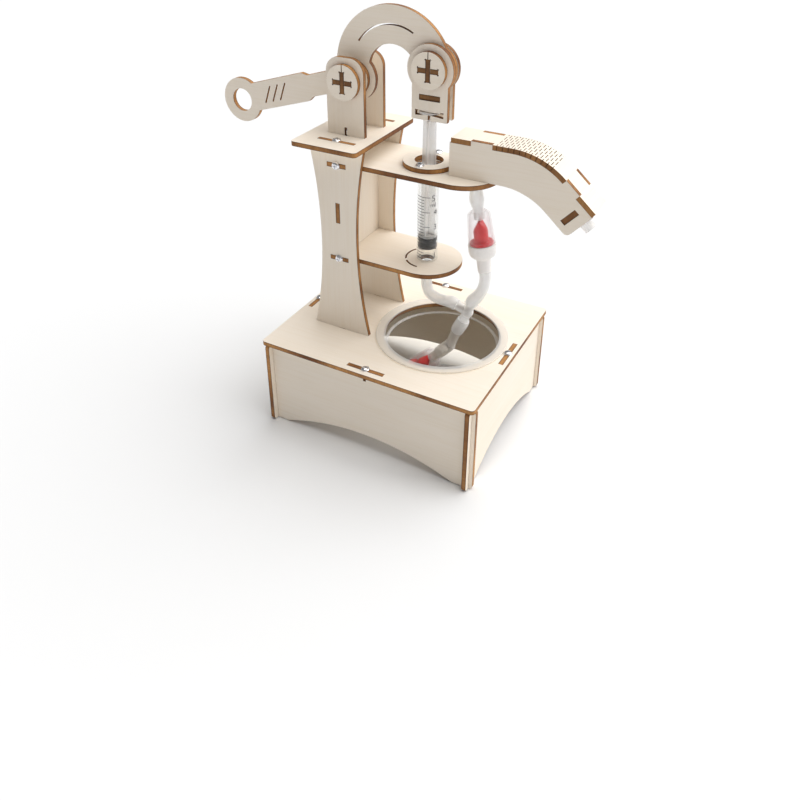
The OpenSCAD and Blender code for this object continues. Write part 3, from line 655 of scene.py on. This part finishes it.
def make_scale():
    """Ticks each 0.2 ml and a numeral each 1 ml, printed on the barrel's side."""
    r = BARREL_R + PRINT_LIFT
    verts, faces = [], []

    def patch(angle_0, angle_1, z_0, z_1):
        """A printed bar between two angles and two heights."""
        steps = max(1, round((angle_1 - angle_0) / 6))
        start = len(verts)
        for k in range(steps + 1):
            a = math.radians(angle_0 + (angle_1 - angle_0) * k / steps)
            x, y = r * math.cos(a), r * math.sin(a)
            verts.extend([(x, y, z_0), (x, y, z_1)])
        for k in range(steps):
            i = start + 2 * k
            faces.append((i, i + 2, i + 3, i + 1))

    for k in range(FIRST_TICK, LAST_TICK + 1):
        z = SCALE_ZERO + k * PER_ML / TICKS
        reach = LONG_TICK if k % TICKS == 0 else SHORT_TICK
        patch(TICK_START, TICK_START + reach, z - TICK_HALF_W, z + TICK_HALF_W)
    make_piece("syringe_ticks", verts, faces, INK, place=kit_frame(BARREL_X, 0))
    for number in range(1, 5):
        add_numeral(str(number), NUMBER_AT, SCALE_ZERO + number * PER_ML - NUMBER_DROP, NUMBER_H, r)
    add_numeral("5", TOP_NUMBER_AT, SCALE_ZERO + 5 * PER_ML - TOP_NUMBER_DROP, NUMBER_H, r)
    add_numeral("ml", TOP_NUMBER_AT, SCALE_ZERO + 5 * PER_ML - UNIT_DROP, UNIT_H, r)


def add_numeral(text, angle, z, height, r):
    """A printed character wrapped round the barrel, its middle at that angle."""
    curve = bpy.data.curves.new("glyph", "FONT")
    curve.body = text
    curve.size = 1.0
    holder = bpy.data.objects.new("glyph", curve)
    scene.collection.objects.link(holder)
    bpy.context.view_layer.update()
    mesh = bpy.data.meshes.new_from_object(holder.evaluated_get(bpy.context.evaluated_depsgraph_get()))
    bpy.data.objects.remove(holder)
    bm = bmesh.new()
    bm.from_mesh(mesh)
    bpy.data.meshes.remove(mesh)
    tall = max(v.co.y for v in bm.verts) - min(0, min(v.co.y for v in bm.verts))
    grow = height / tall
    bmesh.ops.scale(bm, vec=(grow, grow, 1), verts=bm.verts)
    wide = [v.co.x for v in bm.verts]
    left, right = min(wide), max(wide)
    strips = 12
    for k in range(1, strips):
        x = left + (right - left) * k / strips
        everything = bm.verts[:] + bm.edges[:] + bm.faces[:]
        bmesh.ops.bisect_plane(bm, geom=everything, plane_co=(x, 0, 0), plane_no=(1, 0, 0))
    verts = []
    for v in bm.verts:
        a = math.radians(angle) + (v.co.x - (left + right) / 2) / r
        verts.append((r * math.cos(a), r * math.sin(a), z + v.co.y))
    bm.verts.index_update()
    faces = [[v.index for v in f.verts] for f in bm.faces]
    bm.free()
    make_piece("syringe_mark_" + text, verts, faces, INK, place=kit_frame(BARREL_X, 0))


make_barrel()
make_scale()


# ---------- check valves ----------

# A valve's profiles are of (radius, height above its seam, radius of the corner)
VALVE_BODY = [
    (8.2, 0.1, 0.2), (8.2, 3, 1.5), (6.9, 19.4, 1.6), (5.0, 21.2, 1.6), (3.7, 21.2, 0.3),
    (3.7, 20.4, 0.3), (4.8, 20.4, 1.2), (6.1, 19, 1.2), (7.4, 3, 1), (7.4, 0.1, 0.2),
]  # fmt: skip
# How far a duckbill is turned about its valve's axis, the radius of its sleeve, and its height
BEAK_TURN = 17
SLEEVE_R = 4.4
BEAK_H = 15
# Wider than any ring of the duckbill, so that the ring stays round
UNCUT = 9


def make_valve(which, anchor, stub_end, cap_material):
    """A check valve at its seam: a clear body above, a cap with a stub below, a duckbill inside."""
    place = kit_frame(*anchor)
    verts, faces = lathe(filleted(VALVE_BODY), 80)
    make_piece(which + "_body_shown", verts, faces, CLEAR_BODY,
               stands_for=[which + "_valve_body"], place=place, sharp=60)  # fmt: skip
    cap = filleted([
        (0, -stub_end, 0), (4.2, -stub_end, 0.4), (4.4, -10.4, 1), (5.0, -9.4, 0.8), (7.9, -7.4, 2.4),
        (8.5, -4.6, 1.2), (8.5, 0, 0.4), (0, 0, 0),
    ])  # fmt: skip
    verts, faces = lathe(cap, 80)
    make_piece(which + "_cap_shown", verts, faces, cap_material,
               stands_for=[which + "_valve_cap"], place=place, sharp=60)  # fmt: skip
    make_duckbill(which, place @ Matrix.Rotation(math.radians(BEAK_TURN), 4, "Z"))


def make_duckbill(which, place):
    """A flange, a round sleeve, and two flat lips that meet in a slit."""
    sides, sleeve = 72, SLEEVE_R

    def ring(z, r, half):
        """A circle of radius r, cut flat at half on each side."""
        points = []
        for k in range(sides):
            a = 2 * math.pi * k / sides
            x, y = r * math.cos(a), r * math.sin(a)
            points.append((max(-half, min(half, x)), y, z))
        return points

    def slit(z):
        """A ring drawn in to the narrow slit between the lips."""
        return [(max(-0.18, min(0.18, x)), 0.86 * y, z) for x, y, _ in ring(z, sleeve, 0.7)]

    rings = [
        ring(0.05, 7.3, UNCUT), ring(1.1, 7.3, UNCUT), ring(1.4, 7.0, UNCUT), ring(1.4, 5.0, UNCUT),
        ring(1.9, sleeve, UNCUT), ring(8.4, sleeve, 4.4), ring(9.4, sleeve, 4.0), ring(11, sleeve, 2.9),
        ring(12.8, sleeve, 1.8), ring(14.6, sleeve, 0.85), ring(BEAK_H, sleeve - 0.25, 0.65),
        slit(BEAK_H), slit(BEAK_H - 1.6),
    ]  # fmt: skip
    verts = [p for one in rings for p in one]
    faces, index = [], []
    for i in range(len(rings) - 1):
        for k in range(sides):
            n = (k + 1) % sides
            faces.append((i * sides + k, i * sides + n, (i + 1) * sides + n, (i + 1) * sides + k))
            # The slit's walls, and its floor below, take the dark red: painted shade down the crack
            index.append(1 if i == len(rings) - 2 else 0)
    faces += [tuple(range(sides)), tuple(range((len(rings) - 1) * sides, len(rings) * sides))]
    index += [0, 1]
    make_piece(which + "_duckbill_shown", verts, faces, ([RED, SLIT_SHADE], index),
               stands_for=[which + "_duckbill"], place=place, sharp=24)  # fmt: skip


# Each valve's seam and the tee's middle: x, z and the lean of the axis
OUTLET = (49.0, 136.5, 9)
INTAKE = (5.7, 28.2, -41)
TEE = (41.8, 85.6, -20)
OUTLET_STUB, INTAKE_STUB = 18.6, 14.0
make_valve("outlet", OUTLET, OUTLET_STUB, WHITE)
make_valve("intake", INTAKE, INTAKE_STUB, CLEAR_BODY)


# ---------- hoses ----------


def along(anchor, distance, radius, turn=0.0):
    """A route point at a distance from an anchor (x, z, lean) along its axis, turned by turn degrees."""
    x, z, lean = anchor
    a = math.radians(lean + turn)
    return (x - distance * math.sin(a), z + distance * math.cos(a), radius)


TEE_BRANCH = (TEE[0], TEE[1], 90 + TEE[2])
# The bend of the spout's top: where it starts, its radius and its angle
BEND_X, BEND_R, BEND_A = 67.5, 47.0, math.radians(42)
SPOUT_TOP = kit_box("spout_top")[1].z
# The room inside the spout's mouth, and how far its middle is below the top
MOUTH_H = 20.2
MOUTH_DEPTH = PLY + MOUTH_H / 2


def mouth(distance, radius):
    """A point on the spout's middle line at a distance past the bend."""
    x = BEND_X + (BEND_R - MOUTH_DEPTH) * math.sin(BEND_A) + distance * math.cos(BEND_A)
    z = SPOUT_TOP - BEND_R + (BEND_R - MOUTH_DEPTH) * math.cos(BEND_A) - distance * math.sin(BEND_A)
    return (x, z, radius)


nozzle_z = barrel_low.z
make_hose("syringe_hose_shown", [
    (BARREL_X, nozzle_z, 3.9), (BARREL_X, nozzle_z - 4, 3.6), (12.3, 103.6, 3.5), (12.8, 97.4, 3.5),
    (15, 92.2, 3.5), (20, 89.8, 3.5), (26, 89.4, 3.6), along(TEE_BRANCH, 12, 4), along(TEE_BRANCH, 8, 3.9),
], 1.0, HOSE)  # fmt: skip
make_hose("riser_hose_shown", [
    along(OUTLET, -OUTLET_STUB, 3.9), along(OUTLET, -OUTLET_STUB - 4, 3.6), (52.2, 108.6, 3.5),
    (50.6, 103.4, 3.6), (48.2, 99, 3.9), along(TEE, 10, 4.2), along(TEE, 7, 4),
], 1.0, HOSE)  # fmt: skip
make_hose("lower_hose_shown", [
    along(TEE, -7, 4), along(TEE, -10, 4.3), (36.5, 72.4, 4.3), (35.1, 69, 4.1),
], 0.9, HOSE)  # fmt: skip
make_hose("intake_tube_shown", [
    (35.1, 69, 3.3), (33.7, 65.6, 3.3), (32.3, 61.6, 3.3), along(INTAKE, 38, 3.4), along(INTAKE, 37, 4),
    along(INTAKE, 26, 4), along(INTAKE, 25, 3.2), along(INTAKE, 17.5, 3.2),
], 0.8, CLEAR_TUBE)  # fmt: skip
make_hose("spout_hose_shown", [
    along(OUTLET, 16, 3.2), along(OUTLET, 22, 3.2), (44.8, 161.4, 3.9), (44.3, 164, 4.4), (43.9, 167, 4.2),
    (43.5, 171, 3.7), (43.2, 176, 3.5), (43.2, 180, 3.4), (44.6, 184.6, 3.4), (48.6, 188.4, 3.4),
    (54.6, 190.8, 3.4), (62, 191.4, 3.4), (70, 190.8, 3.4), (78, 188.6, 3.4), (85.6, 184.6, 3.4),
    mouth(2, 3.4), mouth(17.5, 3.4), mouth(31, 3.5),
], 1.0, HOSE)  # fmt: skip


# ---------- spout top, bent over its rows of short cuts ----------

END_L = 24.5
TOP_HALF_W = 10.0
# The short cuts: their width and length, the distance between rows, the first row's X, and the rows
KERF, DASH, PITCH = 0.42, 4.7, 1.7
FIRST_ROW_X, ROWS = 58.4, 21
# The notches for the spout sides' tabs: from and to along X at the back, and past the bend at the front
REAR_TAB = (43, 56)
FRONT_TAB = (0.5, 11.5)
TAB_INNER = 7
ARC_STEPS = 20


def make_spout_top():
    """A strip laid out flat as a grid of cells, without those in a cut, then bent along its arc."""
    back = kit_box("spout_top")[0].x
    flat = BEND_X - back
    arc = BEND_R * BEND_A
    half = TOP_HALF_W
    row_0 = FIRST_ROW_X - back

    def place(u, v, depth):
        """A point of the flat strip, u along it and v across it, on the bent strip."""
        if u <= flat:
            return (back + u, v, SPOUT_TOP - depth)
        r = BEND_R - depth
        a = min(u - flat, arc) / BEND_R
        past = max(0.0, u - flat - arc)
        x = BEND_X + r * math.sin(a) + past * math.cos(a)
        z = SPOUT_TOP - BEND_R + r * math.cos(a) - past * math.sin(a)
        return (x, v, z)

    cuts = []
    for k in range(ROWS):
        u = row_0 + k * PITCH
        gap = 2 * half / 3
        if k % 2:
            middles = [-gap, 0, gap]
        else:
            middles = [-1.5 * gap, -0.5 * gap, 0.5 * gap, 1.5 * gap]
        for m in middles:
            cuts.append((u - KERF / 2, u + KERF / 2, max(-half, m - DASH / 2), min(half, m + DASH / 2)))
    rear = [x - back for x in REAR_TAB]
    front = [flat + arc + x for x in FRONT_TAB]
    for u0, u1 in (rear, front):
        for side in (-1, 1):
            inner, outer = sorted((side * TAB_INNER, side * half))
            cuts.append((u0, u1, inner, outer))
    us = {0.0, flat, flat + arc, flat + arc + END_L} | {u for c in cuts for u in c[:2]}
    # The rows end before the bend does, so the rest of it gets lines of its own
    us |= {flat + arc * k / ARC_STEPS for k in range(14, ARC_STEPS)}
    vs = {-half, half, 0.0} | {v for c in cuts for v in c[2:]}
    us, vs = sorted(us), sorted(vs)
    kept = {}
    for i in range(len(us) - 1):
        for j in range(len(vs) - 1):
            u, v = (us[i] + us[i + 1]) / 2, (vs[j] + vs[j + 1]) / 2
            kept[i, j] = not any(c[0] < u < c[1] and c[2] < v < c[3] for c in cuts)
    verts, ids, faces, index = [], {}, [], []

    def vertex(i, j, layer):
        key = (i, j, layer)
        if key not in ids:
            ids[key] = len(verts)
            verts.append(place(us[i], vs[j], layer * PLY))
        return ids[key]

    for (i, j), there in kept.items():
        if not there:
            continue
        ring = [(i, j), (i + 1, j), (i + 1, j + 1), (i, j + 1)]
        faces.append([vertex(*p, 0) for p in ring])
        faces.append([vertex(*p, 1) for p in reversed(ring)])
        index += [0, 0]
        sides = (((i, j - 1), 0, 1), ((i + 1, j), 1, 2), ((i, j + 1), 2, 3), ((i - 1, j), 3, 0))
        for neighbour, a, b in sides:
            if not kept.get(neighbour, False):
                near, far = ring[a], ring[b]
                faces.append([vertex(*far, 0), vertex(*near, 0), vertex(*near, 1), vertex(*far, 1)])
                index.append(1)
    face = curved_plywood("ply_spout_top_face", "face", 7.7)
    edge = curved_plywood("ply_spout_top_edge", "edge", 1.9, SPOUT_BURN_AND_SHADE)
    make_piece("spout_top_shown", verts, faces, ([face, edge], index),
               stands_for=["spout_top"], sharp=12)  # fmt: skip


make_spout_top()


# ---------- stage, light and camera ----------

FLOOR_HALF = 6.0
FLOOR_DROP = 0.0004


def plain_floor():
    """A pale matt floor, just below the ground, so that it doesn't show through the boards' lower edges."""
    mesh = bpy.data.meshes.new("floor")
    s = FLOOR_HALF
    mesh.from_pydata([(-s, -s, 0), (s, -s, 0), (s, s, 0), (-s, s, 0)], [], [(0, 1, 2, 3)])
    m = Nodes("floor")
    m.set(Base_Color=(0.82, 0.82, 0.82, 1), Roughness=0.8, Specular_IOR_Level=0.05)
    mesh.materials.append(m.material)
    floor = bpy.data.objects.new("floor", mesh)
    floor.location.z = -FLOOR_DROP
    scene.collection.objects.link(floor)
    floor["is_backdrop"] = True


def broad_light(name, towards, strength, angle):
    """A light as wide as a studio panel, far off in the direction towards."""
    data = bpy.data.lights.new(name, "SUN")
    data.energy = strength
    data.angle = math.radians(angle)
    light = bpy.data.objects.new(name, data)
    light.rotation_mode = "QUATERNION"
    light.rotation_quaternion = Vector(towards).to_track_quat("Z", "Y")
    scene.collection.objects.link(light)


def daylight():
    """An even white room, a broad light overhead and a weaker one from the right."""
    world = bpy.data.worlds.new("studio")
    world.use_nodes = True
    background = world.node_tree.nodes["Background"]
    background.inputs["Color"].default_value = (1, 1, 1, 1)
    background.inputs["Strength"].default_value = 0.25
    scene.world = world
    broad_light("overhead", towards=(0.34, 0.32, 0.89), strength=3.45, angle=80)
    broad_light("side", towards=(0.93, 0.22, 0.3), strength=0.35, angle=40)
    scene.view_settings.view_transform = "Standard"


VIEW_ANGLES = (28.32, 27.98, 0.15)
VIEW_TARGET = (-7.76, 1.39, 116.82)
VIEW_DISTANCE = 0.5168
VIEW_FOCAL = 801.5 / 800
VIEW_SHIFT = -0.1875
SENSOR_WIDTH = 36


def add_camera():
    """A camera that turns about the target, with its roll."""
    azimuth, elevation, roll = map(math.radians, VIEW_ANGLES)
    target = Vector((KIT_X, 0, 0)) + Vector(VIEW_TARGET) * MM
    level = math.cos(elevation)
    back = Vector((math.sin(azimuth) * level, -math.cos(azimuth) * level, math.sin(elevation)))
    right = (-back).cross(Vector((0, 0, 1))).normalized()
    down = (-back).cross(right)
    side = math.cos(roll) * right - math.sin(roll) * down
    drop = math.sin(roll) * right + math.cos(roll) * down
    data = bpy.data.cameras.new("camera")
    data.sensor_width = SENSOR_WIDTH
    data.lens = VIEW_FOCAL * SENSOR_WIDTH
    data.shift_y = VIEW_SHIFT
    data.clip_start, data.clip_end = 0.01, 50
    camera = bpy.data.objects.new("camera", data)
    turn = Matrix((side, -drop, back)).transposed().to_4x4()
    camera.matrix_world = Matrix.Translation(target + back * VIEW_DISTANCE) @ turn
    scene.collection.objects.link(camera)
    scene.camera = camera


plain_floor()
daylight()
add_camera()

low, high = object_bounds()
